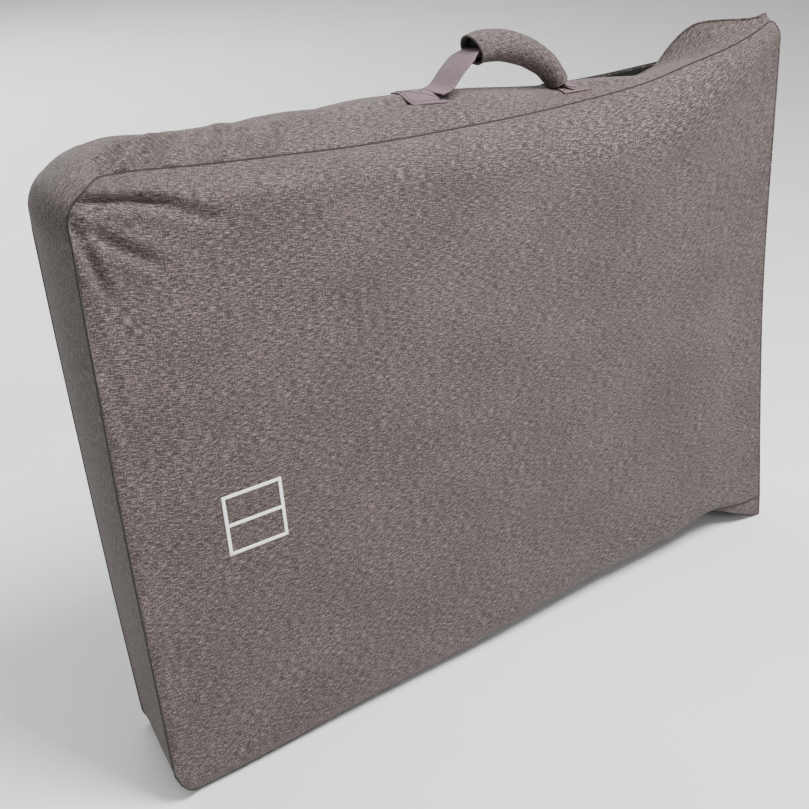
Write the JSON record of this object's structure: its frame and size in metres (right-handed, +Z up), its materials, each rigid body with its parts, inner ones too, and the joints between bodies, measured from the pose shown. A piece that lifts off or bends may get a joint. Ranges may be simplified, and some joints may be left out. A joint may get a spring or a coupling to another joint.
{
  "type": "folded travel playpen in carry bag",
  "caption": "Folding travel playpen stored flat on its long edge in an open-ended cloth carry bag with a webbing handle; it slides out and unfolds to a box.",
  "frame": {"origin": "centre of the base, on the surface it stands on", "axes": "+X along the bag to its open mouth, -Y out of the front panel, +Z up"},
  "size_m": [0.9, 0.16, 0.7144],
  "materials": {
    "bag_cloth": "heathered woven cloth",
    "webbing": "woven mauve-grey webbing",
    "white_print": "flat printed mark",
    "grip_foam": "closed-cell foam",
    "pin_steel": "plain",
    "tube_aluminium": "satin anodised",
    "dark_plastic": "fine grain",
    "button_plastic": "satin",
    "floor_board": "cloth-faced board",
    "mattress_cloth": "quilted cloth",
    "wall_mesh": "fine mesh"
  },
  "bodies": {
    "bag": {"bag_front_panel": "bag_cloth", "bag_back_panel": "bag_cloth", "bag_bottom_gusset": "bag_cloth", "bag_end_gusset": "bag_cloth", "bag_top_gusset": "bag_cloth", "handle_patch_left": "webbing", "handle_patch_right": "webbing", "emblem_print": "white_print"},
    "handle": {"handle_strap_left": "webbing", "handle_strap_right": "webbing", "grip_core": "grip_foam", "grip_sleeve": "bag_cloth"},
    "front_frame": {"front_left_post": "tube_aluminium", "front_left_foot": "dark_plastic", "front_left_corner": "dark_plastic", "front_right_post": "tube_aluminium", "front_right_foot": "dark_plastic", "front_right_corner": "dark_plastic", "front_top_tube": "tube_aluminium", "front_bottom_tube": "tube_aluminium", "front_end_fabric": "wall_mesh"},
    "back_frame": {"back_left_post": "tube_aluminium", "back_left_foot": "dark_plastic", "back_left_corner": "dark_plastic", "back_right_post": "tube_aluminium", "back_right_foot": "dark_plastic", "back_right_corner": "dark_plastic", "back_top_tube": "tube_aluminium", "back_bottom_tube": "tube_aluminium", "back_end_fabric": "wall_mesh"},
    "front_left_rail": {"front_left_rail": "tube_aluminium", "front_left_rail_pin": "pin_steel", "front_left_lock": "dark_plastic", "left_lock_pin": "pin_steel"},
    "back_left_rail": {"back_left_rail": "tube_aluminium", "back_left_rail_pin": "pin_steel", "back_left_lock": "dark_plastic"},
    "left_button": {"left_release_button": "button_plastic"},
    "front_right_rail": {"front_right_rail": "tube_aluminium", "front_right_rail_pin": "pin_steel", "front_right_lock": "dark_plastic", "right_lock_pin": "pin_steel"},
    "back_right_rail": {"back_right_rail": "tube_aluminium", "back_right_rail_pin": "pin_steel", "back_right_lock": "dark_plastic"},
    "right_button": {"right_release_button": "button_plastic"},
    "front_floor": {"front_floor_board": "floor_board", "front_mattress": "mattress_cloth"},
    "front_left_wall": {"front_left_wall": "wall_mesh"},
    "front_right_wall": {"front_right_wall": "wall_mesh"},
    "back_floor": {"back_floor_board": "floor_board", "back_mattress": "mattress_cloth"},
    "back_left_wall": {"back_left_wall": "wall_mesh"},
    "back_right_wall": {"back_right_wall": "wall_mesh"}
  },
  "joints": [
    {"name": "draw_out", "type": "slide", "parent": "bag", "child": "front_frame", "axis": [1, 0, 0], "range_m": [0, 0.9]},
    {"name": "unfold", "type": "hinge", "parent": "front_frame", "child": "front_left_rail", "pos_m": [-0.412, -0.013, 0.6005], "axis": [1, 0, 0], "range_deg": [0, 90], "deforming": ["bag_front_panel", "bag_back_panel", "bag_bottom_gusset", "bag_end_gusset", "bag_top_gusset", "front_left_wall", "front_right_wall", "back_left_wall", "back_right_wall"]},
    {"name": "left_lock_fold", "type": "hinge", "parent": "front_left_rail", "child": "back_left_rail", "pos_m": [-0.412, 0, 0.1305], "axis": [1, 0, 0], "range_deg": [-180, 0]},
    {"name": "back_frame_fold", "type": "hinge", "parent": "back_left_rail", "child": "back_frame", "pos_m": [-0.412, 0.013, 0.6005], "axis": [1, 0, 0], "range_deg": [0, 90]},
    {"name": "right_rail_fold", "type": "hinge", "parent": "front_frame", "child": "front_right_rail", "pos_m": [0.307, -0.013, 0.6005], "axis": [1, 0, 0], "range_deg": [0, 90]},
    {"name": "right_lock_fold", "type": "hinge", "parent": "front_right_rail", "child": "back_right_rail", "pos_m": [0.307, 0, 0.1305], "axis": [1, 0, 0], "range_deg": [-180, 0]},
    {"name": "front_floor_fold", "type": "hinge", "parent": "front_frame", "child": "front_floor", "pos_m": [-0.0525, -0.013, 0.054], "axis": [1, 0, 0], "range_deg": [-90, 0]},
    {"name": "back_floor_fold", "type": "hinge", "parent": "front_floor", "child": "back_floor", "pos_m": [-0.0525, 0, 0.524], "axis": [1, 0, 0], "range_deg": [0, 180]},
    {"name": "front_left_wall_fold", "type": "hinge", "parent": "front_frame", "child": "front_left_wall", "pos_m": [-0.3975, -0.0355, 0.048], "axis": [0, 0, 1], "range_deg": [0, 90]},
    {"name": "front_right_wall_fold", "type": "hinge", "parent": "front_frame", "child": "front_right_wall", "pos_m": [0.2925, -0.0315, 0.048], "axis": [0, 0, 1], "range_deg": [-90, 0]},
    {"name": "back_left_wall_fold", "type": "hinge", "parent": "back_frame", "child": "back_left_wall", "pos_m": [-0.3975, 0.0355, 0.048], "axis": [0, 0, 1], "range_deg": [-90, 0]},
    {"name": "back_right_wall_fold", "type": "hinge", "parent": "back_frame", "child": "back_right_wall", "pos_m": [0.2925, 0.0315, 0.048], "axis": [0, 0, 1], "range_deg": [0, 90]},
    {"name": "handle_flop", "type": "hinge", "parent": "bag", "child": "handle", "pos_m": [0.082, 0, 0.6522], "axis": [1, 0, 0], "range_deg": [-48, 48], "deforming": ["handle_strap_left", "handle_strap_right"]},
    {"name": "left_button_press", "type": "slide", "parent": "front_left_rail", "child": "left_button", "axis": [1, 0, 0], "range_m": [0, 0.003], "stiffness_N_per_m": 500},
    {"name": "right_button_press", "type": "slide", "parent": "front_right_rail", "child": "right_button", "axis": [-1, 0, 0], "range_m": [0, 0.003], "stiffness_N_per_m": 500}
  ],
  "couplings": [
    {"joint": "left_lock_fold", "follows": "unfold", "ratio": -2},
    {"joint": "back_frame_fold", "follows": "unfold", "ratio": 1},
    {"joint": "right_rail_fold", "follows": "unfold", "ratio": 1},
    {"joint": "right_lock_fold", "follows": "unfold", "ratio": -2},
    {"joint": "front_floor_fold", "follows": "unfold", "ratio": -1},
    {"joint": "back_floor_fold", "follows": "unfold", "ratio": 2},
    {"joint": "front_left_wall_fold", "follows": "unfold", "ratio": 1},
    {"joint": "front_right_wall_fold", "follows": "unfold", "ratio": -1},
    {"joint": "back_left_wall_fold", "follows": "unfold", "ratio": -1},
    {"joint": "back_right_wall_fold", "follows": "unfold", "ratio": 1}
  ]
}
